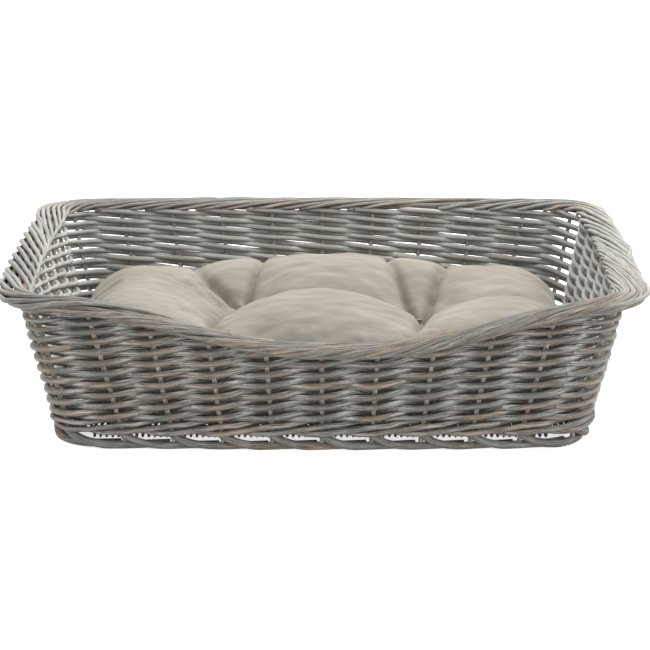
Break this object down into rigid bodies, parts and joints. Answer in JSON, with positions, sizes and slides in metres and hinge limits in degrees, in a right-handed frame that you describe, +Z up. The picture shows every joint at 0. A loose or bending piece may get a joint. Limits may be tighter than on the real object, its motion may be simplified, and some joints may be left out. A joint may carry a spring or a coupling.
{
  "type": "wicker pet bed basket",
  "caption": "Low rectangular willow pet basket with flared woven walls, a rolled rim that dips at the front as an entrance, and a loose tufted velour cushion.",
  "frame": {"origin": "on the ground, in the middle of the basket's overall length and width", "axes": "+X along the length to the right of someone facing the low entrance, -Y out of the entrance, +Z up"},
  "size_m": [0.8, 0.6005, 0.205],
  "materials": {
    "grey_willow": "matte",
    "pale_willow": "matte",
    "brown_willow": "matte",
    "velour": "matte",
    "wadding": "matte",
    "thread": "matte"
  },
  "bodies": {
    "basket": {"base_stick_1": "brown_willow", "base_stick_2": "brown_willow", "base_stick_3": "brown_willow", "base_stick_4": "brown_willow", "base_stick_5": "brown_willow", "base_stick_6": "brown_willow", "base_stick_7": "brown_willow", "base_stick_8": "brown_willow", "base_stick_9": "brown_willow", "base_weave": "brown_willow", "foot_border": "pale_willow", "front_stakes": "pale_willow", "back_stakes": "pale_willow", "left_stakes": "pale_willow", "right_stakes": "pale_willow", "front_left_post": "pale_willow", "front_right_post": "pale_willow", "back_left_post": "pale_willow", "back_right_post": "pale_willow", "lower_wale": "grey_willow", "upper_wale": "grey_willow", "open_round_1": "grey_willow", "open_round_2": "grey_willow", "open_round_3": "grey_willow", "open_round_4": "grey_willow", "open_round_5": "grey_willow", "open_round_6": "grey_willow", "open_round_7": "grey_willow", "packed_round_1": "grey_willow", "packed_round_2": "grey_willow", "packed_round_3": "grey_willow", "packed_round_4": "grey_willow", "rim_outer_roll": "pale_willow", "rim_top_roll": "pale_willow", "rim_inner_roll": "pale_willow"},
    "cushion": {"cushion_cover_top": "velour", "cushion_cover_base": "velour", "cushion_filling": "wadding", "cushion_tuft_left": "thread", "cushion_tuft_right": "thread"}
  },
  "joints": [
    {"name": "cushion_lift", "type": "slide", "parent": "basket", "child": "cushion", "axis": [0, 0, 1], "range_m": [0, 0.3]}
  ]
}
